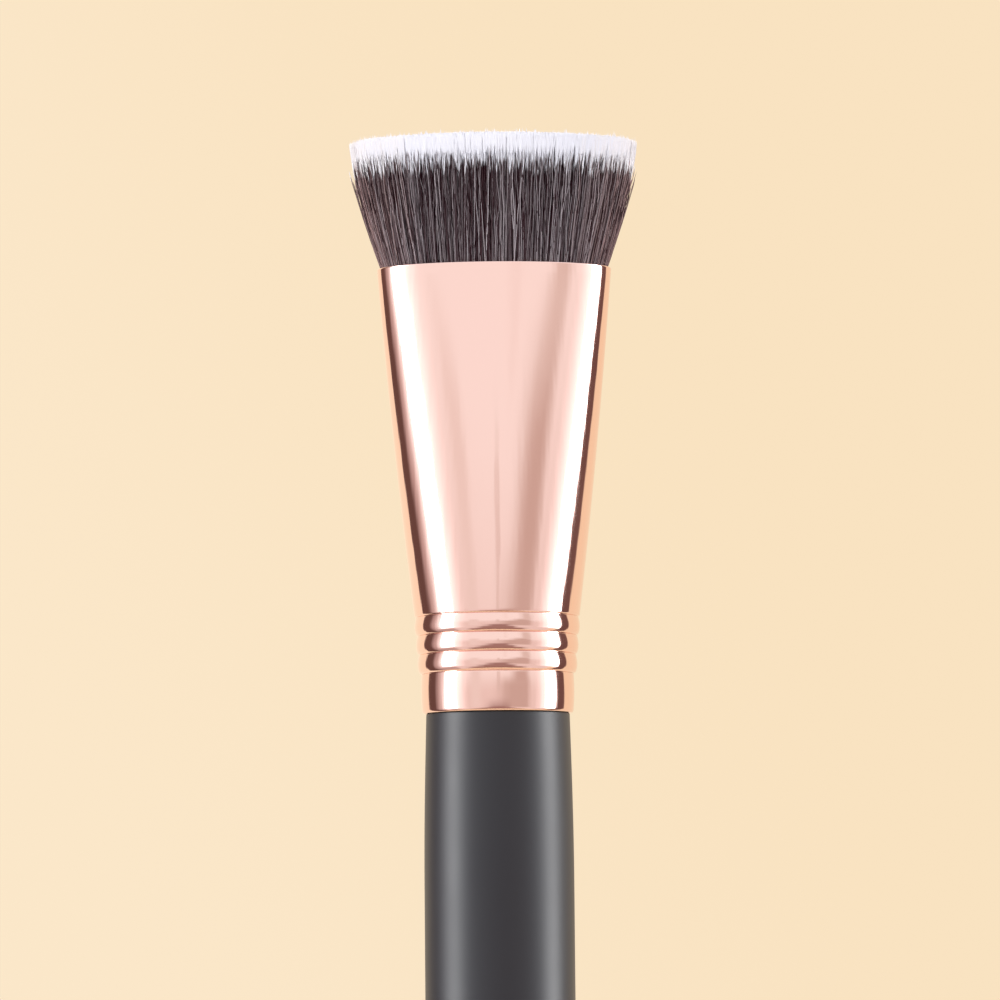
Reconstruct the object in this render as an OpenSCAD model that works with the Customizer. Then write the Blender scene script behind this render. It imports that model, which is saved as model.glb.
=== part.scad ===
// Contour brush: a flat-topped tuft of fine filaments, potted in a polished ferrule that is
// round where it grips the handle and flattened to an ellipse at its mouth.
// The tail of the handle stands on the ground plane, the axis runs up +Z and the wide way of
// the tuft lies along X. Lengths are millimetres.

/* [Handle] */
// Length of the handle from its tail to the ferrule
handle_l = 110; // [85:1:140]
// Diameter of the straight belly, the thickest part of the handle
handle_d = 15; // [14.5:0.1:18]
// Length of the straight belly
belly_l = 16; // [6:1:24]
// Length over which the handle narrows from the belly to the ferrule
swell_l = 17; // [8:1:24]
// Radius that rounds the edge under the ferrule
shoulder_round = 0.15; // [0.05:0.05:0.3]
// Diameter of the tail above its rounded end
tail_d = 8; // [6:0.5:11]
// Height of the rounded end
tail_round_h = 4; // [2:0.5:7]
// Diameter of the small flat that the handle stands on
foot_d = 4; // [2:0.5:5]

/* [Tenon] */
// Length of the tenon that reaches past the collar of the ferrule
tenon_nose_l = 4.3; // [2:0.1:8]
// Chamfer on the end of the tenon
tenon_chamfer = 0.8; // [0.2:0.1:1.5]
// Thickness of the glue film at the end of the collar, where it is thinnest
glue_film = 0.2; // [0.1:0.05:0.5]
// Number of grooves that key the glue to the tenon
key_count = 2; // [1:1:3]
// Height of one key groove
key_h = 1.2; // [0.6:0.1:1.8]
// Depth of one key groove
key_depth = 0.4; // [0.2:0.1:0.8]

/* [Ferrule] */
// Length of the ferrule
ferrule_l = 45; // [36:0.5:60]
// Thickness of the ferrule's sheet
ferrule_wall = 0.35; // [0.2:0.05:0.6]
// Outside width of the mouth
mouth_w = 23.7; // [20:0.1:28]
// Outside depth of the mouth, front to back
mouth_t = 11.8; // [9:0.1:15]
// Outside diameter at the top of the collar, where the ferrule is still round
collar_d = 16.7; // [16:0.1:18]
// Outside diameter at the top of the plain band
band_d = 15.3; // [15:0.1:15.8]
// Outside diameter of the drawn-in end, over the handle's shoulder
collar_end_d = 14.5; // [14:0.1:14.8]
// Height of the plain band
band_h = 4; // [2:0.1:6]
// Number of rolled beads
bead_count = 3; // [1:1:4]
// Height of one bead
bead_pitch = 1.9; // [1.4:0.1:2.6]
// Depth of the grooves between the beads
groove_depth = 0.12; // [0.05:0.01:0.25]
// Width of one groove
groove_w = 0.24; // [0.1:0.02:0.4]
// How far the foot of the flattened shell stands in from both edges of the collar's wall
shell_step = 0.02; // [0.01:0.01:0.04]

/* [Tuft] */
// Length of the tuft outside the ferrule
tuft_out = 13; // [8:0.5:25]
// Width of the flat top of the tuft
tuft_w = 29; // [25:0.5:36]
// Depth of the flat top of the tuft, front to back
tuft_t = 13.6; // [12:0.1:18]
// Length of the white tips
tip_l = 3; // [1:0.1:5]
// Gap between the packed filaments and the ferrule's wall
tuft_fit = 0.05; // [0.02:0.01:0.1]

/* [Root] */
// Length of the tuft hidden inside the ferrule
root_l = 18; // [16:0.5:24]
// Height of the tied waist at the bottom of the root
waist_h = 5; // [4:0.1:6]
// How far the waist stands in from the ferrule's wall
waist_inset = 1.2; // [0.9:0.1:1.6]
// Height over which the root spreads from the waist to the wall
spread_h = 8; // [4:0.1:9]
// Height of the thread binding round the waist
binding_h = 2.5; // [1.5:0.1:3]
// Thickness of the thread binding
binding_t = 0.5; // [0.3:0.1:0.7]
// Thickness of the potting under the root
potting_floor = 3; // [1:0.1:5]
// Height of the potting above the waist
potting_cover = 4; // [2:0.1:6]
// Gap between the potting and the ferrule's wall
potting_fit = 0.02; // [0.01:0.01:0.05]

/* [Hidden] */

round_fn = 96; // facets round a turned piece in a preview
shell_sides = 96; // sides of the flattened shells
curve_steps = 12; // points along a long curve
bead_steps = 8; // points along one bead
shell_steps = 4; // levels up the flattened part of the ferrule
strand_rings = 8; // rings of strands: six times its square is their number

belly_r = handle_d / 2;
tail_r = tail_d / 2;
foot_r = foot_d / 2;
collar_r = collar_d / 2;
band_r = band_d / 2;
collar_end_r = collar_end_d / 2;
tenon_r = collar_end_r - ferrule_wall - glue_film;
// The shoulder is all but flush with the drawn-in end of the ferrule
shoulder_r = collar_end_r - glue_film / 4;

// Heights up the brush
belly_z1 = handle_l - swell_l;
belly_z0 = belly_z1 - belly_l;
band_z = handle_l + band_h;
collar_z = band_z + bead_count * bead_pitch;
shell_z = collar_z + groove_w / 2;
tenon_z = collar_z + tenon_nose_l;
mouth_z = handle_l + ferrule_l;
top_z = mouth_z + tuft_out;
root_z = mouth_z - root_l;
waist_z = root_z + waist_h;
spread_z = waist_z + spread_h;
binding_z0 = root_z + (waist_h - binding_h) / 2;
binding_z1 = binding_z0 + binding_h;
potting_z0 = root_z - potting_floor;
potting_z1 = waist_z + potting_cover;
// The strands part just below the rim, so that they clear it as they spread
part_z = mouth_z - tuft_fit;
tip_z = top_z - tip_l;

// Shape of the tuft: how quickly it spreads above the mouth, how much of its own cell each
// strand fills at the heights given, and how much the tips differ in length
spread_power = 1.9;
strand_height_shares = [0.3, 0.72];
strand_fill_shares = [0.86, 0.8];
tip_fill_share = 0.5;
tip_uneven_share = 0.12;

function lerp(a, b, t) = a + (b - a) * t;
function reversed(list) = [for (i = [len(list) - 1:-1:0]) list[i]];

// Outline of the handle, [radius, height] from the foot to the shoulder
function tail_outline() =
    [for (i = [0:curve_steps]) let (a = 90 * i / curve_steps)
        [lerp(foot_r, tail_r, sin(a)), tail_round_h * (1 - cos(a))]];
function taper_outline() =
    [for (i = [1:curve_steps]) let (t = i / curve_steps)
        [lerp(tail_r, belly_r, sin(90 * t)), lerp(tail_round_h, belly_z0, t)]];
function swell_outline() =
    [for (i = [0:curve_steps]) let (t = i / curve_steps)
        [lerp(belly_r, shoulder_r, 1 - cos(90 * t)),
         lerp(belly_z1, handle_l - shoulder_round, t)]];

// Outline of the tenon from the shoulder up to its end, with the key grooves
function key_z(i) = lerp(handle_l, collar_z, (i + 1) / (key_count + 1)) - key_h / 2;
function tenon_side() = concat(
    [[tenon_r, handle_l]],
    [for (i = [0:key_count - 1]) each [
        [tenon_r, key_z(i)],
        [tenon_r - key_depth, key_z(i)],
        [tenon_r - key_depth, key_z(i) + key_h],
        [tenon_r, key_z(i) + key_h]]]);

// Outside of the collar from its drawn-in end to the last groove. Each bead is a shallow
// arch on the line from the band to the top of the collar.
function collar_line(z) = lerp(band_r, collar_r, (z - band_z) / (collar_z - band_z));
function band_outline() =
    [for (i = [0:curve_steps]) let (t = i / curve_steps)
        [lerp(collar_end_r, band_r, sin(90 * t)), lerp(handle_l, band_z - groove_w / 2, t)]];
function bead_outline(n) =
    [for (i = [0:bead_steps]) let (t = i / bead_steps, z = band_z + (n + t) * bead_pitch)
        [collar_line(z) - groove_depth * pow(2 * t - 1, 2), z]];
function collar_outline() = concat(
    band_outline(),
    [for (n = [0:bead_count - 1]) for (i = [0:bead_steps - 1]) bead_outline(n)[i]],
    [[collar_r - groove_depth, collar_z], [collar_r, shell_z]]);
function inside(outline) = [for (p = outline) p - [ferrule_wall, 0]];

// Half width and half depth of the ferrule above its collar, at a height z. Its sides are
// straight lines from the round collar to the flattened mouth.
function shell_share(z) = (z - shell_z) / (mouth_z - shell_z);
function shell_half(z) =
    [lerp(collar_r, mouth_w / 2, shell_share(z)), lerp(collar_r, mouth_t / 2, shell_share(z))];
function inset_ring(z, inset) = concat(shell_half(z) - [inset, inset], [z]);
function wall_ring(z, inset) = inset_ring(z, ferrule_wall + inset);
function root_inset(z) =
    z <= waist_z ? waist_inset
    : lerp(waist_inset, tuft_fit, min(1, (z - waist_z) / spread_h));

// Points of a skin over rings that are given as [half width, half depth, height]
function ring_points(rings, sides) =
    [for (r = rings) for (i = [0:sides - 1]) let (a = 360 * i / sides)
        [r[0] * cos(a), r[1] * sin(a), r[2]]];
// Triangles between neighbouring rings. A closed skin joins its last ring to its first.
function ring_faces(count, sides, closed) =
    [for (r = [0:count - (closed ? 1 : 2)]) for (i = [0:sides - 1])
        let (a = r * sides + i, b = r * sides + (i + 1) % sides,
             c = (r + 1) % count * sides + i, d = (r + 1) % count * sides + (i + 1) % sides)
        each [[a, c, d], [a, d, b]]];
function fan(first, sides, up) =
    [for (i = [1:sides - 2]) up ? [first, first + i + 1, first + i] : [first, first + i, first + i + 1]];

module closed_skin(rings) {
    polyhedron(ring_points(rings, shell_sides), ring_faces(len(rings), shell_sides, true));
}

module capped_skin(rings) {
    polyhedron(
        ring_points(rings, shell_sides),
        concat(
            ring_faces(len(rings), shell_sides, false),
            fan(0, shell_sides, false),
            fan((len(rings) - 1) * shell_sides, shell_sides, true)));
}

// The cells that the strands grow from: corner j of ring k on a unit disc, its number among
// all corners, and the corners of each triangular cell. All cells have the same area.
function corner(k, j) = k == 0 ? [0, 0] : k / strand_rings * [cos(60 * j / k), sin(60 * j / k)];
function corner_id(k, j) = k == 0 ? 0 : 1 + 3 * k * (k - 1) + j % (6 * k);
corners = [for (k = [0:strand_rings]) for (j = [0:max(0, 6 * k - 1)]) corner(k, j)];
cells = [for (k = [1:strand_rings]) for (s = [0:5]) each concat(
    [for (i = [0:k - 1])
        [corner_id(k, s * k + i), corner_id(k, s * k + i + 1), corner_id(k - 1, s * (k - 1) + i)]],
    [for (i = [0:1:k - 2])
        [corner_id(k - 1, s * (k - 1) + i + 1), corner_id(k - 1, s * (k - 1) + i),
         corner_id(k, s * k + i + 1)]])];

// Half width and half depth of the tuft at a height z above the rim
function tuft_half(z) =
    let (s = 1 - pow(1 - (z - part_z) / (top_z - part_z), spread_power),
         low = shell_half(part_z) - (ferrule_wall + tuft_fit) * [1, 1])
    [lerp(low[0], tuft_w / 2, s), lerp(low[1], tuft_t / 2, s)];
// One triangle across strand n: the corners of its cell, drawn in to a share of the cell
function strand_ring(n, z, share) =
    let (p = [for (id = cells[n]) corners[id]], middle = (p[0] + p[1] + p[2]) / 3,
         half = tuft_half(z))
    [for (q = p) let (place = lerp(middle, q, share)) [half[0] * place[0], half[1] * place[1], z]];
function strand_end_z(n) =
    n < len(cells) - 6 * (2 * strand_rings - 1)
        ? top_z - tip_l * tip_uneven_share * (n * 7 % 11) / 10 : top_z;
// Triangles between two triangular rings, given by the numbers of their corners
function strand_sides(low, high) =
    [for (i = [0:2]) let (j = (i + 1) % 3) each [[low[i], high[i], high[j]], [low[i], high[j], low[j]]]];
function three(first) = [first, first + 1, first + 2];

module dark_strands() {
    root_sides = 6 * strand_rings;
    root_rings = [
        wall_ring(root_z, waist_inset), wall_ring(waist_z, waist_inset),
        wall_ring(spread_z, tuft_fit)];
    rise = tip_z - part_z;
    points = concat(
        [for (c = corners) let (half = tuft_half(part_z)) [half[0] * c[0], half[1] * c[1], part_z]],
        ring_points(root_rings, root_sides),
        [for (n = [0:len(cells) - 1]) each concat(
            strand_ring(n, part_z + rise * strand_height_shares[0], strand_fill_shares[0]),
            strand_ring(n, tip_z, strand_fill_shares[1]))]);
    rim = len(corners) - root_sides;
    root = len(corners);
    first = root + len(root_rings) * root_sides;
    strand_faces = [for (n = [0:len(cells) - 1]) let (low = first + 6 * n, high = low + 3) each concat(
        strand_sides(cells[n], three(low)),
        strand_sides(three(low), three(high)),
        [[high + 2, high + 1, high]])];
    root_faces = concat(
        fan(root, root_sides, false),
        [for (f = ring_faces(len(root_rings), root_sides, false)) f + root * [1, 1, 1]],
        [for (i = [0:root_sides - 1])
            let (a = first - root_sides + i, b = first - root_sides + (i + 1) % root_sides,
                 c = rim + i, d = rim + (i + 1) % root_sides)
            each [[a, c, d], [a, d, b]]]);
    polyhedron(points, concat(strand_faces, root_faces));
}

module white_tips() {
    points = [for (n = [0:len(cells) - 1]) each concat(
        strand_ring(n, tip_z, strand_fill_shares[1]),
        strand_ring(n, strand_end_z(n), tip_fill_share))];
    faces = [for (n = [0:len(cells) - 1]) let (low = 6 * n, high = low + 3) each concat(
        [three(low), [high + 2, high + 1, high]],
        strand_sides(three(low), three(high)))];
    polyhedron(points, faces);
}

// Turned wood under a soft matt black lacquer, with the tenon that the ferrule is glued to
module handle() {
    outline = concat(
        [[0, 0]], tail_outline(), taper_outline(), swell_outline(),
        [[shoulder_r - shoulder_round, handle_l]], tenon_side(),
        [[tenon_r, tenon_z - tenon_chamfer], [tenon_r - tenon_chamfer, tenon_z], [0, tenon_z]]);
    color([0.17, 0.17, 0.18]) rotate_extrude($fn = round_fn) polygon(outline);
}

// Glue that fills the wedge between the tenon and the collar
module tenon_glue() {
    outline = concat(
        tenon_side(), [[tenon_r, shell_z]], reversed(inside(collar_outline())));
    color([0.78, 0.7, 0.5]) rotate_extrude($fn = round_fn) polygon(outline);
}

// Drawn metal tube: a round collar with a plain band and rolled beads, then a shell that
// widens and flattens up to the mouth. The shell is rooted in the collar's top edge.
module ferrule() {
    function step(z) = shell_step * (1 - shell_share(z));
    levels = concat(
        [shell_z - shell_step],
        [for (i = [0:shell_steps]) lerp(shell_z, mouth_z, i / shell_steps)]);
    color([0.91, 0.68, 0.6]) {
        rotate_extrude($fn = round_fn)
            polygon(concat(collar_outline(), reversed(inside(collar_outline()))));
        closed_skin(concat(
            [for (z = levels) inset_ring(z, step(z))],
            [for (z = reversed(levels)) wall_ring(z, -step(z))]));
    }
}

// Epoxy cast round the root of the tuft
module root_potting() {
    color([0.85, 0.76, 0.52]) capped_skin([
        wall_ring(potting_z0, potting_fit), wall_ring(potting_z1, potting_fit),
        wall_ring(potting_z1, root_inset(potting_z1)), wall_ring(waist_z, waist_inset),
        wall_ring(binding_z1, waist_inset), wall_ring(binding_z1, waist_inset - binding_t),
        wall_ring(binding_z0, waist_inset - binding_t), wall_ring(binding_z0, waist_inset),
        wall_ring(root_z, waist_inset)]);
}

// Thread wound round the waist to hold the filaments together until they are potted
module root_binding() {
    color([0.9, 0.88, 0.82]) closed_skin([
        wall_ring(binding_z0, waist_inset - binding_t), wall_ring(binding_z1, waist_inset - binding_t),
        wall_ring(binding_z1, waist_inset), wall_ring(binding_z0, waist_inset)]);
}

// Filaments, packed solid in the ferrule and parting into strands above its rim
module bristles() {
    color([0.3, 0.25, 0.25]) dark_strands();
    color([0.95, 0.95, 0.98]) white_tips();
}

handle();
tenon_glue();
ferrule();
root_potting();
root_binding();
bristles();
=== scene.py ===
# A contour brush: a turned handle, a polished ferrule glued and rolled onto its tenon, and a
# tuft of fine filaments potted in the ferrule's flattened mouth. The brush stands on its tail.
import math

import bpy
import numpy as np
from mathutils import Matrix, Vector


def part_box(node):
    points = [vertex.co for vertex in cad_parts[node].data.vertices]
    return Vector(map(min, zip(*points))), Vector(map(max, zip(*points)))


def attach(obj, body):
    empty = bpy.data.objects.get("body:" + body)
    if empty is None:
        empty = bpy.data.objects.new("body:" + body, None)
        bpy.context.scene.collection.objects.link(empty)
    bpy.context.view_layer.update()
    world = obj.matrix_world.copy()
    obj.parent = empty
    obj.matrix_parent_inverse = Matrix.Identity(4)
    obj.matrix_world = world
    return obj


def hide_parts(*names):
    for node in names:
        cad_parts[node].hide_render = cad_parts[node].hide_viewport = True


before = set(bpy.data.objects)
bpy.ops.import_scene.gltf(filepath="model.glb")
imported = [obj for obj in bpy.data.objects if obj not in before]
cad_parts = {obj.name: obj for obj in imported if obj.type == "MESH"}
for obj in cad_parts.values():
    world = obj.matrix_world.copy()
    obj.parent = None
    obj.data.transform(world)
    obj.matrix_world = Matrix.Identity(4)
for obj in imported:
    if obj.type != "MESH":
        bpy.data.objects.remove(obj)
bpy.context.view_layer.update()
scene = bpy.context.scene
scene.view_settings.view_transform = "Standard"
mm = 0.001

# The camera. It stands half a metre in front of the brush and below its middle, so that it
# looks up a little and every ring of the brush bows upwards in the picture.
camera_distance = 482 * mm
camera_tilt = math.radians(5.11)
camera_roll = math.radians(-0.5)
aim = np.array([0.39, 0, 131.5]) * mm
sensor_width_mm = 36
lens_mm = 172.2

camera_data = bpy.data.cameras.new("camera")
camera_data.sensor_width = sensor_width_mm
camera_data.lens = lens_mm
camera_data.clip_start = 10 * mm
camera = bpy.data.objects.new("camera", camera_data)
scene.collection.objects.link(camera)
looking = np.array([0, math.cos(camera_tilt), math.sin(camera_tilt)])
camera.matrix_world = (
    Matrix.Translation(aim - camera_distance * looking)
    @ Matrix.Rotation(math.pi / 2 + camera_tilt, 4, "X")
    @ Matrix.Rotation(camera_roll, 4, "Z")
)
scene.camera = camera

# The studio. A plain peach backdrop goes all round. A white wall stands behind the camera, a
# tall softbox on each side, and dark boards edge them, which the polished metal mirrors.
backdrop_colour = (0.947, 0.765, 0.533)
backdrop_bright = (0.965, 0.8, 0.585)
glow_slope = -2.5
glow_soft = 0.25
# Each part has a name, the azimuth from and to, the softness of its two ends, the elevation from
# and to, its softness, a colour and a strength. Azimuth 0 is behind the camera, and the right is
# positive.
studio_parts = [
    ("front_wall", (-80, 84), (10, 10), (-90, 42), (1, 10), (1.0, 0.985, 0.97), 1.0),
    ("wall_foot", (-80, 84), (10, 10), (-90, 7), (1, 16), (1.0, 0.88, 0.84), 0.86),
    ("ceiling", (-180, 180), (1, 1), (40, 90), (10, 1), (0.95, 0.97, 1.0), 1.05),
    ("wall_dip", (-40, -27), (10, 10), (-12, 14), (8, 6), (1.0, 0.92, 0.88), 0.88),
    ("wall_seam", (-1, 3), (2, 2), (0, 13), (6, 5), (1.0, 0.9, 0.86), 0.82),
    ("wall_strip", (9, 15), (5, 5), (15, 40), (4, 4), (1.0, 0.96, 0.94), 0.97),
    ("shade_foot", (6, 48), (32, 12), (-14, 7), (10, 8), (1.0, 0.8, 0.72), 0.62),
    ("shade_middle", (24, 47), (22, 14), (4, 14), (6, 8), (1.0, 0.8, 0.72), 0.62),
    ("shade_top", (36, 50), (14, 12), (13, 30), (6, 14), (1.0, 0.88, 0.82), 0.76),
    ("table_far", (-14, 17), (22, 14), (-90, -7), (1, 10), (1.0, 0.64, 0.58), 0.38),
    ("table_middle", (-27, 27), (20, 14), (-90, -20), (1, 10), (1.0, 0.64, 0.58), 0.38),
    ("table_near", (-47, 46), (22, 18), (-90, -34), (1, 14), (1.0, 0.62, 0.52), 0.34),
    ("left_backdrop", (-180, -120), (1, 6), (-90, 42), (1, 4), (1.0, 0.83, 0.62), 1.07),
    ("left_board_edge", (-127, -66), (3, 8), (-70, 42), (4, 4), (1.0, 0.76, 0.72), 0.55),
    ("left_board", (-127, -105), (3, 12), (-70, 42), (4, 4), (1.0, 0.54, 0.46), 0.14),
    ("left_glow", (-92, -56), (18, 26), (-22, 42), (10, 8), (1.0, 1.0, 1.0), 1.5),
    ("left_softbox", (-85, -66), (6, 6), (-16, 38), (8, 6), (1.0, 1.0, 1.0), 9.5),
    ("right_board", (100, 119), (2, 3), (-70, 42), (4, 4), (1.0, 0.54, 0.47), 0.16),
    ("right_glow", (68, 101), (24, 2), (-22, 42), (10, 8), (1.0, 1.0, 1.0), 1.5),
    ("right_softbox", (79, 99), (6, 3), (-16, 38), (8, 6), (1.0, 1.0, 1.0), 9.5),
]


def node(tree, kind, **settings):
    """A new node of a tree, with attributes set by name and sockets by number, as in i0=2."""
    made = tree.nodes.new(kind)
    for name, value in settings.items():
        if name[0] == "i" and name[1:].isdigit():
            if isinstance(value, bpy.types.NodeSocket):
                tree.links.new(value, made.inputs[int(name[1:])])
            else:
                made.inputs[int(name[1:])].default_value = value
        else:
            setattr(made, name, value)
    return made


def math_node(tree, operation, *values):
    """The result of one Math node on numbers or sockets."""
    sockets = {f"i{n}": v for n, v in enumerate(values)}
    return node(tree, "ShaderNodeMath", operation=operation, **sockets).outputs[0]


def rise(tree, value, low, high):
    """A smooth step from 0 at low to 1 at high."""
    made = node(
        tree, "ShaderNodeMapRange", interpolation_type="SMOOTHSTEP", i0=value, i1=low, i2=high
    )
    return made.outputs[0]


def window(tree, value, span, soft):
    """1 where value lies between the two ends of span and 0 outside, each end with its softness."""
    up = rise(tree, value, span[0] - soft[0] / 2, span[0] + soft[0] / 2)
    down = rise(tree, value, span[1] - soft[1] / 2, span[1] + soft[1] / 2)
    return math_node(tree, "MULTIPLY", up, math_node(tree, "SUBTRACT", 1.0, down))


def light(tree, colour, strength):
    """A plain light of one colour and strength."""
    return node(tree, "ShaderNodeBackground", i0=(*colour, 1), i1=strength).outputs[0]


def either(tree, share, first, second):
    """The first shader where share is 0, the second where it is 1."""
    return node(tree, "ShaderNodeMixShader", i0=share, i1=first, i2=second).outputs[0]


world = bpy.data.worlds.new("studio")
scene.world = world
world.use_nodes = True
sky = world.node_tree
sky.nodes.clear()
direction = node(sky, "ShaderNodeTexCoord").outputs["Generated"]
along = node(sky, "ShaderNodeSeparateXYZ", i0=direction).outputs
forwards = math_node(sky, "MULTIPLY", along[1], -1.0)
azimuth = math_node(sky, "DEGREES", math_node(sky, "ARCTAN2", along[0], forwards))
elevation = math_node(sky, "DEGREES", math_node(sky, "ARCSINE", along[2]))
studio = light(sky, backdrop_colour, 1.0)
for _, turn, turn_soft, height, height_soft, colour, strength in studio_parts:
    inside = math_node(
        sky,
        "MULTIPLY",
        window(sky, azimuth, turn, turn_soft),
        window(sky, elevation, height, height_soft),
    )
    studio = either(sky, inside, studio, light(sky, colour, strength))
# The camera sees the backdrop alone, with painted light that makes it a shade brighter at the lower
# left
glow = math_node(sky, "SUBTRACT", math_node(sky, "MULTIPLY", along[0], glow_slope), along[2])
backdrop = either(
    sky,
    rise(sky, glow, -glow_soft, glow_soft),
    light(sky, backdrop_colour, 1.0),
    light(sky, backdrop_bright, 1.0),
)
seen = node(sky, "ShaderNodeLightPath").outputs["Is Camera Ray"]
node(sky, "ShaderNodeOutputWorld", i0=either(sky, seen, studio, backdrop))

# The floor. A plain pale board that the brush stands on, painted so that it shows as the
# backdrop does, and without a tint in the light that it throws back. What the metal mirrors of
# it ends a hand's width in front of the brush, where the studio's table ends.
floor_reach = 2.5
table_reach = 0.112
table_fade = 1.05
floor_colour = (0.7, 0.57, 0.4)
floor_bounce = (0.68, 0.7, 0.74)


def piece_from(name, points, *faces):
    """A smooth mesh object from an array of points and arrays of corner numbers, a row a face."""
    mesh = bpy.data.meshes.new(name)
    mesh.vertices.add(len(points))
    mesh.vertices.foreach_set("co", np.asarray(points, np.float32).ravel())
    corners = np.concatenate([f.ravel() for f in faces])
    sizes = np.concatenate([np.full(len(f), f.shape[1]) for f in faces])
    mesh.loops.add(len(corners))
    mesh.loops.foreach_set("vertex_index", corners.astype(np.int32))
    mesh.polygons.add(len(sizes))
    mesh.polygons.foreach_set("loop_start", (np.cumsum(sizes) - sizes).astype(np.int32))
    mesh.polygons.foreach_set("use_smooth", np.ones(len(sizes), bool))
    mesh.update(calc_edges=True)
    piece = bpy.data.objects.new(name, mesh)
    scene.collection.objects.link(piece)
    return piece


def finish_on(piece, *materials):
    """Gives a piece its materials, in the order of its slots."""
    for material in materials:
        piece.data.materials.append(material)


def material_tree(name):
    """A new material, its node tree and its Principled shader."""
    material = bpy.data.materials.new(name)
    material.use_nodes = True
    tree = material.node_tree
    return material, tree, tree.nodes["Principled BSDF"]


def fill(tree, made, inputs):
    """Sets inputs of a node by name, each to a plain value or to the output of another node."""
    for name, value in inputs.items():
        if isinstance(value, bpy.types.NodeSocket):
            tree.links.new(value, made.inputs[name])
        else:
            made.inputs[name].default_value = value


def mixed(tree, share, first, second, **settings):
    """The first colour where share is 0, the second where it is 1, and their mix in between. A
    colour is red, green, blue and 1, or the output of another node."""
    made = node(tree, "ShaderNodeMix", data_type="RGBA", i0=share, i6=first, i7=second, **settings)
    return made.outputs[2]


def on_piece(tree):
    """The place on the piece itself, in metres."""
    return node(tree, "ShaderNodeTexCoord").outputs["Object"]


floor_corners = floor_reach * np.array([(-1, -1, 0), (1, -1, 0), (1, 1, 0), (-1, 1, 0)])
floor = piece_from("floor", floor_corners, np.array([[0, 1, 2, 3]]))
board, tree, shader = material_tree("pale_board")
rays = node(tree, "ShaderNodeLightPath").outputs
mirrored = rays["Is Glossy Ray"]
shown = math_node(tree, "MAXIMUM", rays["Is Camera Ray"], mirrored)
paint = mixed(tree, shown, (*floor_bounce, 1), (*floor_colour, 1))
fill(tree, shader, {"Base Color": paint, "Specular IOR Level": 0})
length = node(tree, "ShaderNodeVectorMath", operation="LENGTH", i0=on_piece(tree))
reach = length.outputs["Value"]
beyond = rise(tree, reach, table_reach, table_reach * table_fade)
open_floor = either(
    tree,
    math_node(tree, "MULTIPLY", beyond, mirrored),
    shader.outputs[0],
    node(tree, "ShaderNodeBsdfTransparent").outputs[0],
)
tree.links.new(open_floor, tree.nodes["Material Output"].inputs["Surface"])
finish_on(floor, board)

# The handle. Hardwood, turned in one piece with its tenon and dipped in a soft-touch matt
# black lacquer up to the shoulder. The tenon stays bare, and its grooves key the glue.
foot_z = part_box("handle")[0].z
shoulder_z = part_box("ferrule")[0].z
tenon_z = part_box("handle")[1].z
belly_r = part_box("handle")[1].x
foot_r = 2 * mm
tail_r = 4 * mm
tail_round_h = 4 * mm
belly_l = 16 * mm
swell_l = 17 * mm
shoulder_r = 7.2 * mm
shoulder_round = 0.15 * mm
tenon_r = 6.7 * mm
tenon_chamfer = 0.8 * mm
collar_h = 9.7 * mm
key_h = 1.2 * mm
key_depth = 0.4 * mm
key_shares = (1 / 3, 2 / 3)
handle_sides = 160
tail_steps = 12
taper_steps = 40
swell_steps = 24
edge_steps = 5


def lerp(a, b, t):
    """The value at share t of the way from a to b."""
    return a + (b - a) * t


def sine(t):
    """Sine of a share of a quarter turn."""
    return np.sin(np.asarray(t) * math.pi / 2)


def ring(half_width, half_depth, height, sides):
    """Points of an ellipse at one height. The inputs may be arrays, which gives one ring each."""
    turn = np.arange(sides) * 2 * math.pi / sides
    half_width, half_depth, height = np.broadcast_arrays(half_width, half_depth, height)
    across = half_width[..., None] * np.cos(turn)
    deep = half_depth[..., None] * np.sin(turn)
    return np.stack([across, deep, np.broadcast_to(height[..., None], across.shape)], -1)


def skin(name, rings, closed=False):
    """Quads between neighbouring rings, whose points run anticlockwise as seen from above.
    A closed skin joins its last ring to its first. An open one ends in fans round two poles."""
    count, sides = rings.shape[:2]
    i = np.arange(count if closed else count - 1)[:, None] * sides
    j = np.arange(sides)[None, :]
    above, beside = (i + sides) % (count * sides), (j + 1) % sides
    quads = np.stack([i + j, i + beside, above + beside, above + j], -1).reshape(-1, 4)
    points = rings.reshape(-1, 3)
    if closed:
        return piece_from(name, points, quads)
    poles = rings[[0, -1]].mean(1)
    low, high = len(points), len(points) + 1
    last = (count - 1) * sides
    fans = [
        np.stack([np.full(sides, low), beside[0], j[0]], -1),
        np.stack([np.full(sides, high), last + j[0], last + beside[0]], -1),
    ]
    return piece_from(name, np.concatenate([points, poles]), quads, *fans)


# The outline from the foot up, as radius and height: sine curves for the rounded tail, the long
# taper and the swell, a rounded edge under the ferrule, then the tenon with its key grooves
t = np.linspace(0, 1, tail_steps + 1)
tail = np.stack([lerp(foot_r, tail_r, sine(t)), tail_round_h * (1 - sine(1 - t))], 1)
t = np.linspace(0, 1, taper_steps + 1)[1:]
belly_top = shoulder_z - swell_l
taper = np.stack(
    [lerp(tail_r, belly_r, sine(t)), lerp(tail_round_h, belly_top - belly_l, t)], 1
)
t = np.linspace(0, 1, swell_steps + 1)
swell = np.stack(
    [
        lerp(belly_r, shoulder_r, 1 - sine(1 - t)),
        lerp(belly_top, shoulder_z - shoulder_round, t),
    ],
    1,
)
t = np.linspace(0, 1, edge_steps + 1)[1:]
edge = np.stack(
    [
        shoulder_r - shoulder_round * (1 - sine(1 - t)),
        shoulder_z - shoulder_round * (1 - sine(t)),
    ],
    1,
)
tenon = [(tenon_r, shoulder_z)]
for share in key_shares:
    key_z = shoulder_z + collar_h * share - key_h / 2
    tenon += [(tenon_r, key_z), (tenon_r - key_depth, key_z)]
    tenon += [(tenon_r - key_depth, key_z + key_h), (tenon_r, key_z + key_h)]
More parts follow.
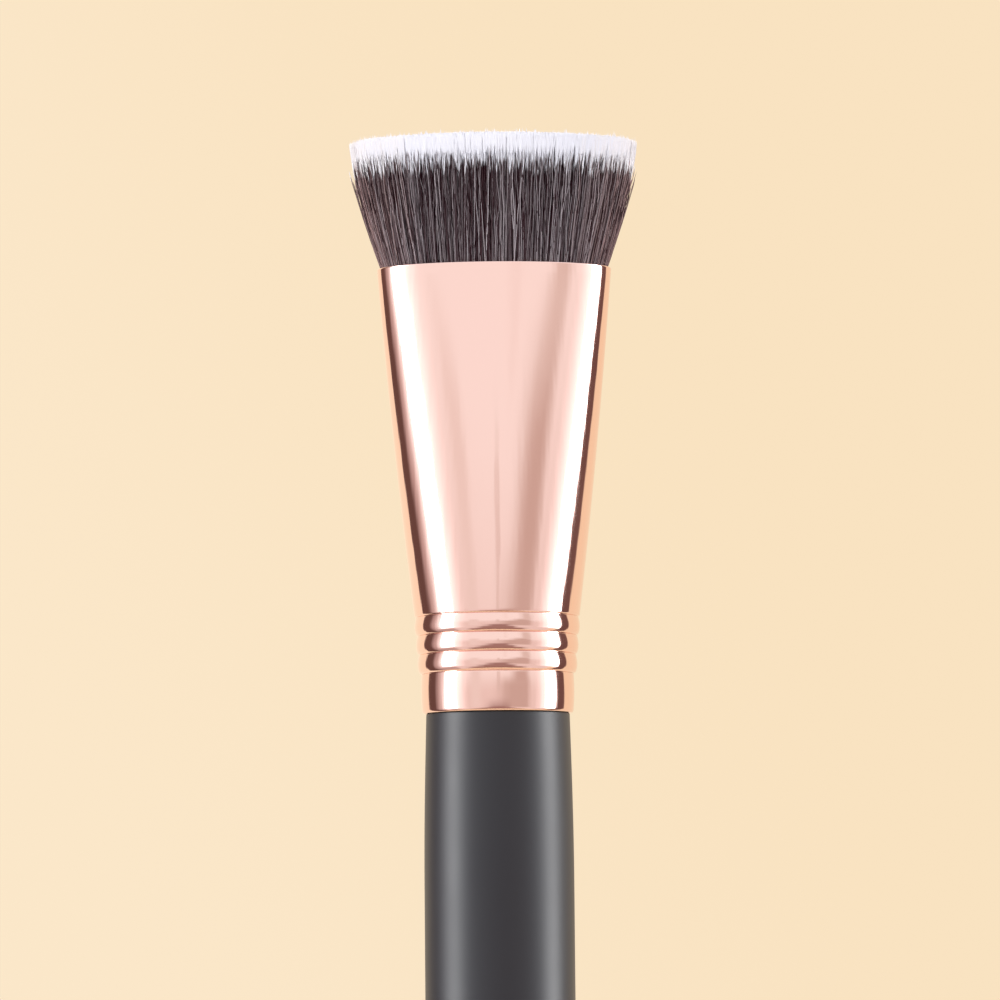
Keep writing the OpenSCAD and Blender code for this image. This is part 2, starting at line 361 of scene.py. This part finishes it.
tenon += [(tenon_r, tenon_z - tenon_chamfer), (tenon_r - tenon_chamfer, tenon_z)]
outline = np.concatenate([tail + (0, foot_z), taper + (0, foot_z), swell, edge, tenon])
handle = skin("handle_turned", ring(outline[:, 0], outline[:, 0], outline[:, 1], handle_sides))


def noise(tree, place, scale=5, detail=2):
    """Cloudy noise from 0 to 1, finer with a larger scale and crisper with more detail."""
    made = node(tree, "ShaderNodeTexNoise", i0=place)
    fill(tree, made, {"Scale": scale, "Detail": detail})
    return made.outputs[0]


def stretched(tree, place, factors):
    """The place times a factor along each axis."""
    made = node(tree, "ShaderNodeMapping", i0=place)
    fill(tree, made, {"Scale": factors})
    return made.outputs[0]


def ranged(tree, value, span, result):
    """A straight line from the first result to the second while value goes over its span."""
    ends = {"i1": span[0], "i2": span[1], "i3": result[0], "i4": result[1]}
    return node(tree, "ShaderNodeMapRange", i0=value, **ends).outputs[0]


def relief(tree, height, depth, strength=1):
    """The normal of a surface that stands out by depth times height, in so much strength."""
    made = node(tree, "ShaderNodeBump")
    fill(tree, made, {"Height": height, "Distance": depth, "Strength": strength})
    return made.outputs[0]


lacquer, tree, shader = material_tree("soft_touch_lacquer")
place = on_piece(tree)
mottle = noise(tree, place, scale=90, detail=3)
grain = noise(tree, place, scale=9000)
look = {
    "Base Color": (0.001, 0.003, 0.011, 1),
    "Specular IOR Level": 0.78,
    "Roughness": ranged(tree, mottle, (0.3, 0.7), (0.43, 0.47)),
    "Normal": relief(tree, grain, 0.01 * mm, 0.15),
}
fill(tree, shader, look)

bare_wood, tree, shader = material_tree("bare_hardwood")
fibre = noise(tree, stretched(tree, on_piece(tree), (900, 900, 40)), detail=4)
wood = mixed(tree, fibre, (0.55, 0.37, 0.2, 1), (0.72, 0.53, 0.32, 1))
fill(tree, shader, {"Base Color": wood, "Roughness": 0.75})
finish_on(handle, lacquer, bare_wood)
# Every face that lies no lower than the shoulder, but for rounding, is bare wood
rounding_slack = 0.001 * mm
centres = np.empty(len(handle.data.polygons) * 3, np.float32)
handle.data.polygons.foreach_get("center", centres)
bare = centres.reshape(-1, 3)[:, 2] > shoulder_z - rounding_slack
handle.data.polygons.foreach_set("material_index", bare.astype(np.int32))
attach(handle, "root")
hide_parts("handle")

# The glue in the collar. It fills the wedge between the tenon and the tapering sheet, so it
# keeps the solid of the frame and only gets the look of set wood glue.


def refinish(name, material):
    """Gives a solid of the frame, whose shape stays, a material in place of its plain one."""
    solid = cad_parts[name]
    solid.data.materials.clear()
    finish_on(solid, material)


glue, tree, shader = material_tree("set_glue")
clouds = noise(tree, on_piece(tree), scale=400)
amber = mixed(tree, clouds, (0.5, 0.36, 0.16, 1), (0.72, 0.6, 0.36, 1))
fill(tree, shader, {"Base Color": amber, "Roughness": 0.35})
refinish("tenon_glue", glue)

# The ferrule. One metal tube, plated a pink copper colour and polished: a drawn-in end, a
# plain band and three rolled beads grip the tenon, and the shell flattens up to the mouth.
mouth_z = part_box("ferrule")[1].z
mouth_half_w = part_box("ferrule")[1].x
mouth_half_t = 5.9 * mm
wall = 0.35 * mm
band_h = 4 * mm
band_r = 7.7 * mm
band_crest_h = 2.3 * mm
band_fall = 0.13 * mm
end_round = 0.12 * mm
end_round_h = 0.3 * mm
bead_count = 3
bead_pitch = 1.9 * mm
bead_r = 8.02 * mm
bead_rise = 0.143 * mm
bead_fall_low = 0.24 * mm
bead_fall_high = 0.14 * mm
notch_depth = 0.05 * mm
notch_w = 0.2 * mm
shell_r = 8.3 * mm
shell_bulge_w = 0.2 * mm
shell_bulge_t = 0.35 * mm
shell_turn_in = 0.03 * mm
shell_turn_h = 0.3 * mm
turn_power = 2.5
bead_power_low = 2.7
bead_power_high = 1.6
ferrule_sides = 192
band_rings = 33
bead_rings = 41
shell_rings = 64
lip_rings = 10
inner_every = 3

band_z = shoulder_z + band_h
shell_z = band_z + bead_count * bead_pitch


def crowded(low, high, count):
    """Numbers from low to high that lie closer together towards both ends."""
    return lerp(low, high, (1 - np.cos(np.linspace(0, math.pi, count))) / 2)


def shell_half(z):
    """Half width and half depth of the shell, which runs from round to flattened. It bulges a
    little in between, and its lowest edge turns in towards the top groove."""
    share = (z - shell_z) / (mouth_z - shell_z)
    bulge = 4 * share * (1 - share)
    turn_in = shell_turn_in * np.clip(1 - (z - shell_z) / shell_turn_h, 0, 1) ** turn_power
    half_w = lerp(shell_r, mouth_half_w, share) + shell_bulge_w * bulge - turn_in
    return half_w, lerp(shell_r, mouth_half_t, share) + shell_bulge_t * bulge - turn_in


def notched(half_w, half_t, z):
    """Half sizes with a fine notch pressed in at each groove, in the shape of a cosine wave."""
    grooves = band_z + bead_pitch * np.arange(bead_count + 1)
    near = np.abs(z[:, None] - grooves).min(1) / (notch_w / 2)
    depth = notch_depth * (1 + np.cos(math.pi * np.minimum(near, 1))) / 2
    return np.stack([half_w - depth, half_t - depth, z], 1)


# The band falls off with the square of the distance from its crest, and each bead with a power
# of it, steeper below than above
z = crowded(shoulder_z, band_z, band_rings)[:-1]
off_crest = (z - shoulder_z - band_crest_h) / band_crest_h
rounding = end_round * np.clip(1 - (z - shoulder_z) / end_round_h, 0, 1) ** turn_power
band = band_r - band_fall * off_crest**2 - rounding
collar = [notched(band, band, z)]
for n in range(bead_count):
    t = crowded(-1, 1, bead_rings)[:-1]
    fall_low = bead_fall_low * np.abs(t) ** bead_power_low
    fall_high = bead_fall_high * np.abs(t) ** bead_power_high
    bead = bead_r + n * bead_rise - np.where(t < 0, fall_low, fall_high)
    collar.append(notched(bead, bead, band_z + bead_pitch * (n + (t + 1) / 2)))
z = lerp(shell_z, mouth_z - wall / 2, np.linspace(0, 1, shell_rings) ** 2)
outer_half = np.concatenate([*collar, notched(*shell_half(z), z)])
# The lip is half a circle over the wall, and the inside follows the outside a wall further in
bend = np.linspace(0, math.pi, lip_rings)[1:-1, None]
inset = np.array([1, 1, 0])
lip = outer_half[-1] + wall / 2 * ((np.cos(bend) - 1) * inset + np.sin(bend) * (0, 0, 1))
inner_half = outer_half[::-inner_every] - wall * inset
profile = np.concatenate([outer_half, lip, inner_half])
ferrule = skin("ferrule_shell", ring(*profile.T, ferrule_sides), closed=True)

plating, tree, shader = material_tree("polished_copper_plating")
place = on_piece(tree)
haze = noise(tree, place, scale=140, detail=4)
ripple = noise(tree, stretched(tree, place, (260, 260, 30)), detail=1)
look = {
    "Base Color": (0.98, 0.69, 0.625, 1),
    "Metallic": 1,
    "Roughness": ranged(tree, haze, (0.35, 0.7), (0.05, 0.1)),
    "Normal": relief(tree, ripple, 0.012 * mm),
}
fill(tree, shader, look)
finish_on(ferrule, plating)
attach(ferrule, "root")
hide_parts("ferrule")

# The potting. Clear amber epoxy, poured round the root of the tuft inside the ferrule, and
# the thread that ties the root before it is poured. Both keep the solids of the frame.
epoxy, tree, shader = material_tree("cast_epoxy")
clouds = noise(tree, on_piece(tree), scale=250)
honey = mixed(tree, clouds, (0.6, 0.4, 0.15, 1), (0.8, 0.62, 0.32, 1))
fill(tree, shader, {"Base Color": honey, "Roughness": 0.15})
refinish("root_potting", epoxy)

thread, tree, shader = material_tree("binding_thread")
turns = node(tree, "ShaderNodeTexWave", i0=on_piece(tree), bands_direction="Z")
fill(tree, turns, {"Scale": 600})
twist = mixed(tree, turns.outputs["Fac"], (0.5, 0.47, 0.4, 1), (0.82, 0.79, 0.7, 1))
fill(tree, shader, {"Base Color": twist, "Roughness": 0.85})
refinish("root_binding", thread)

# The tuft. Fine synthetic filaments, dark brown with bleached white tips. Their roots are tied
# and potted in the ferrule, they fill its mouth, and above the rim they spread a little and end
# in one flat, soft top.
root_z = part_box("bristles")[0].z
top_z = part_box("bristles")[1].z
# The outline
waist_inset = 1.2 * mm
top_half_w = 14.6 * mm
top_half_t = 6.8 * mm
spread_power = 1.35
# One filament, and the longer ones among them
piece_count = 8
filaments_a_piece = 3100
filament_r = 0.036 * mm
ring_heights = np.array([0, 0.13, 0.26, 0.39, 0.52, 0.65, 0.77, 0.86, 0.93, 1.0])
soft_rings = 2
tip_r = 0.11 * mm
thin_share = 0.4
tip_length = 0.35 * mm
blunt_length = 0.06 * mm
tip_jitter = 0.14 * mm
long_share = 0.3
long_rise = 0.12 * mm
long_rise_limit = 3.5
# How much the filaments draw together, lean and wave, as shares of the half outline. The wisps
# are strewn over a little more than a full turn, in radians
shake_share = 0.2
wisp_count = 3000
wisp_arc = 7
wisp_batches = 40
wisp_pull = 0.3
wisp_power = 0.8
lean_share = 0.05
wave_share = 0.013
wave_rounds = 2
# Where the outer layer, the inside and the narrow sides begin and end, as shares too
skin_share = 0.971
skin_end_share = 0.93
skin_depth = 0.003
settle_from, settle_over = 0.75, 0.2
inside_share = 0.93
thin_from, thin_over = 0.88, 0.1
side_share = 0.65
side_spread = 0.5
# The loose hairs at the narrow sides
stray_count = 60
stray_from = 0.95
stray_cut_mm = (2.2, 4.6)
stray_off = 0.05
stray_off_shares = (1, 0.4)
stray_reach = 0.035
# The map: columns side by side, and the strip of its column that a filament takes
column_count = 256
strip = (0.15, 0.85)
root_lift = 0.003
rng = np.random.default_rng(7)


def tuft_half(z):
    """Half width and half depth of the tuft. Inside the ferrule it follows the sheet, drawn in
    at the root. Above the rim it spreads, fast at first and slower towards the top."""
    inner_w, inner_t = (x - wall - filament_r for x in shell_half(np.minimum(z, mouth_z)))
    drawn_in = waist_inset * np.clip((mouth_z - z) / (mouth_z - root_z), 0, 1)
    up = np.clip((z - mouth_z) / (top_z - mouth_z), 0, 1)
    spread = 1 - (1 - up) ** spread_power
    return (
        lerp(inner_w - drawn_in, top_half_w, spread),
        lerp(inner_t - drawn_in, top_half_t, spread),
    )


def disc_points(radius, turn):
    """Points at the given distances and turns from the middle of the disc."""
    return radius[:, None] * np.stack([np.cos(turn), np.sin(turn)], 1)


# Where each filament stands in a disc of radius 1: a sunflower's even spiral, a little shaken
filament_count = piece_count * filaments_a_piece
number = np.arange(filament_count)
golden_turn = math.pi * (3 - math.sqrt(5))
spot = disc_points(np.sqrt((number + 0.5) / filament_count), number * golden_turn)
spacing = math.sqrt(math.pi / filament_count)
spot += rng.normal(0, shake_share * spacing, spot.shape)
# Neighbours draw together into wisps, and each filament leans and waves on its own
wisp_reach = np.sqrt(rng.uniform(0, 1, wisp_count))
wisp_spot = disc_points(wisp_reach, rng.uniform(0, wisp_arc, wisp_count))
wisp = np.concatenate(
    [
        ((batch[:, None] - wisp_spot[None]) ** 2).sum(-1).argmin(1)
        for batch in np.array_split(spot, wisp_batches)
    ]
)
pull = (wisp_spot[wisp] - spot) * rng.uniform(0, wisp_pull, (filament_count, 1))
lean = rng.normal(0, lean_share, (filament_count, 2))
wave = rng.normal(0, wave_share, (filament_count, 2))
wave_turn = rng.uniform(0, 2 * math.pi, (filament_count, 1))
tip_z = top_z - np.abs(rng.normal(0, tip_jitter, filament_count))
# One side of each three-sided filament faces the front or the back
outwards = np.sign(spot[:, 1]) * math.pi / 2
# The narrow sides take the upper half of the map's columns, where the colour is painted warmer and
# redder, as light that falls on the sides
at_side = np.clip((np.abs(spot[:, 0]) - side_share) / (1 - side_share), 0, 1)
half_count = column_count // 2
column = rng.integers(0, half_count, filament_count)
sideways = (1 - side_spread) * at_side + rng.uniform(0, side_spread, filament_count)
side_column = (half_count * (1 + sideways)).astype(int)
column = np.where(at_side > 0, side_column, column)
# The tips are soft and wide, but thin out at the narrow sides. A few longer ones are thin too
thinning = np.clip((np.abs(spot[:, 0]) - thin_from) / thin_over, 0, 1)
tip_width = lerp(tip_r, thin_share * tip_r, thinning)
long = rng.uniform(0, 1, filament_count) < long_share
longer = rng.exponential(long_rise, long.sum())
tip_z[long] += np.minimum(longer, long_rise_limit * long_rise)
tip_width[long] *= thin_share
# A few loose hairs stand off at the two narrow sides, cut short of the white tips
edge_hairs = np.flatnonzero(np.abs(spot[:, 0]) > stray_from)
stray = rng.choice(edge_hairs, stray_count, replace=False)
tip_z[stray] -= rng.uniform(*stray_cut_mm, stray_count) * mm
stand_off = np.zeros((filament_count, 2))
off = rng.uniform(0, stray_off, (stray_count, 1))
stand_off[stray] = np.sign(spot[stray]) * off * stray_off_shares
loose = np.zeros(filament_count)
loose[stray] = stray_reach
# The outermost filaments end side by side in one even layer, so that the white tips form a sheet
from_middle = np.linalg.norm(spot, axis=1)
in_skin = (from_middle > skin_share) & (np.abs(spot[:, 0]) < skin_end_share)
skin_reach = 1 - rng.uniform(0, skin_depth, filament_count)
# Those inside that layer end bluntly, and well inside they are turned at random, so that the
# flat top is one soft field
tip_length = np.where((from_middle < skin_share) & ~long, blunt_length, tip_length)
inside = from_middle < inside_share
outwards[inside] = rng.uniform(0, 2 * math.pi, inside.sum())


def filaments(mine):
    """Points of some filaments, a row each: three-sided rings from the root up and a tip. A
    filament runs straight from its root to the rim, then follows its spot in the widening
    outline, pulled to its wisp halfway up, leaning and waving a little. The outline widens with
    the square of the distance from the middle, and the even layer is reached near the top."""
    z = lerp(mouth_z, (tip_z - tip_length)[mine][:, None], ring_heights)
    z = np.concatenate([np.full((len(mine), 1), root_z), z, tip_z[mine][:, None]], 1)
    up = np.clip((z - mouth_z) / (top_z - mouth_z), 0, 1)[..., None]
    rounds = 2 * math.pi * wave_rounds * up
    swing = np.sin(rounds + wave_turn[mine][:, None]) * np.minimum(2 * up, 1)
    drift = (
        pull[mine][:, None] * np.sin(math.pi * up**wisp_power)
        + lean[mine][:, None] * (1 - up)
        + wave[mine][:, None] * swing * np.sqrt(1 - up)
        + stand_off[mine][:, None] * up
    )
    unit = spot[mine][:, None] + drift
    reach = np.linalg.norm(unit, axis=-1, keepdims=True)
    kept_in = np.minimum(reach, 1 + loose[mine][:, None, None] * up)
    settling = in_skin[mine][:, None, None] * np.clip((up - settle_from) / settle_over, 0, 1)
    unit = unit / reach * lerp(kept_in, skin_reach[mine][:, None, None], settling)
    half_w, half_t = tuft_half(z)
    rim_w = np.minimum(half_w, tuft_half(mouth_z)[0])
    across = unit[..., 0] * (rim_w + (half_w - rim_w) * np.abs(unit[..., 0]))
    centre = np.stack([across, unit[..., 1] * half_t, z], -1)
    corner = outwards[mine][:, None] + math.pi * np.array([-1 / 3, 1 / 3, 1])
    out = np.stack([np.cos(corner), np.sin(corner), 0 * corner], -1)[:, None]
    ring_r = np.full((len(mine), len(ring_heights) + 1), filament_r)
    ring_r[:, -soft_rings:] = tip_width[mine][:, None]
    body = centre[:, :-1, None] + ring_r[..., None, None] * out
    return np.concatenate([body.reshape(len(mine), -1, 3), centre[:, -1:]], 1)


# Corners of one filament: the sides between its rings, the point on top, the closed root
level = len(ring_heights)
side = np.arange(3)
low = (np.arange(level)[:, None] * 3 + side).reshape(-1, 1)
step = np.tile((side + 1) % 3 - side, level)[:, None]
side_quads = np.concatenate([low, low + step, low + step + 3, low + 3], 1)
tip_faces = 3 * level + np.stack([side, (side + 1) % 3, np.full(3, 3)], 1)
root_face = np.array([[2, 1, 0]])
map_top_z = tip_z.max()
tuft = []
for n in range(piece_count):
    mine = np.flatnonzero(number % piece_count == n)
    points = filaments(mine)
    first = np.arange(len(mine))[:, None, None] * points.shape[1]
    piece = piece_from(
        f"bristles_{n + 1}",
        points.reshape(-1, 3),
        (first + side_quads).reshape(-1, 4),
        (first + tip_faces).reshape(-1, 3),
        (first + root_face).reshape(-1, 3),
    )
    # The soft white ends are shaded flat, which makes their outward sides one even sheet
    round_sides = np.tile(side_quads[:, 0] < 3 * (level - soft_rings), len(mine))
    round_sides = np.concatenate([round_sides, np.zeros(4 * len(mine), bool)])
    piece.data.polygons.foreach_set("use_smooth", round_sides)
    # On the map a filament stands in its own column, and its height is the height on the map
    height = (points[..., 2] - root_z) / (map_top_z - root_z)
    spots = []
    for corners, across, lift in (
        (side_quads, (*strip, *strip[::-1]), 0),
        (tip_faces, (*strip, 0.5), 0),
        (root_face, (*strip, 0.5), (0, 0, root_lift)),
    ):
        u = (column[mine][:, None, None] + across) / column_count
        spots.append(np.stack(np.broadcast_arrays(u, height[:, corners] + lift), -1).ravel())
    layer = piece.data.uv_layers.new(name="OFBake", do_init=False)
    layer.uv.foreach_set("vector", np.concatenate(spots).astype(np.float32))
    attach(piece, "root")
    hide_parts("bristles")
    tuft.append(piece)

filament, tree, shader = material_tree("two_tone_filament")
on_map = node(tree, "ShaderNodeUVMap", uv_map="OFBake").outputs[0]
on_map = node(tree, "ShaderNodeSeparateXYZ", i0=on_map).outputs


def dice(offset):
    """A number from 0 to 1 by chance for each column of the map. Offsets that are further apart
    than the map has columns make throws that don't depend on each other."""
    which = math_node(tree, "FLOOR", math_node(tree, "MULTIPLY", on_map[0], float(column_count)))
    made = node(tree, "ShaderNodeTexWhiteNoise", noise_dimensions="1D")
    tree.links.new(math_node(tree, "ADD", which, offset + 0.5), made.inputs["W"])
    return made.outputs[0]


# How far down the bleach reaches differs from column to column, and is a little more at the sides
mm_on_map = mm / (map_top_z - root_z)
bleach_low = (top_z - root_z) / (map_top_z - root_z) - 4.8 * mm_on_map
bleach_spread = 1.45 * mm_on_map
bleach_at_side = -0.3 * mm_on_map
bleach_soft = 0.65 * mm_on_map
side_columns = (0.55, 0.95)
at_sides = rise(tree, on_map[0], *side_columns)
two_dice = math_node(tree, "ADD", dice(0), dice(700))
start = math_node(tree, "MULTIPLY_ADD", two_dice, bleach_spread, bleach_low)
start = math_node(tree, "MULTIPLY_ADD", at_sides, bleach_at_side, start)
bleached = rise(tree, math_node(tree, "SUBTRACT", on_map[1], start), 0.0, bleach_soft)
# Most columns are a very dark brown and a few paler, partly the filaments' own tone and partly
# painted light, and those of the narrow sides are painted warmer
dark_power = 2.7
brown_roughness = 0.4
bleach_dulls = 0.4
# The palest columns stand in for painted highlights, as the shader's own gloss is kept low, and the
# darkest for painted shade between the filaments
shade = math_node(tree, "POWER", dice(1300), dark_power)
brown_with_painted_light = mixed(tree, shade, (0.024, 0.004, 0.008, 1), (0.49, 0.43, 0.455, 1))
# Painted side light: the brown of the narrow sides is multiplied warmer and redder
brown_with_painted_side_light = mixed(tree, at_sides, brown_with_painted_light, (1.15, 0.86, 0.78, 1), blend_type="MULTIPLY")
# The white tips of the narrow sides are painted warmer too, as lit from the side
white = mixed(tree, at_sides, (0.88, 0.875, 0.935, 1), (0.9, 0.86, 0.86, 1))
look = {
    "Base Color": mixed(tree, bleached, brown_with_painted_side_light, white),
    "Specular IOR Level": 0.1,
    "Roughness": math_node(tree, "MULTIPLY_ADD", bleached, bleach_dulls, brown_roughness),
}
fill(tree, shader, look)
for piece in tuft:
    finish_on(piece, filament)
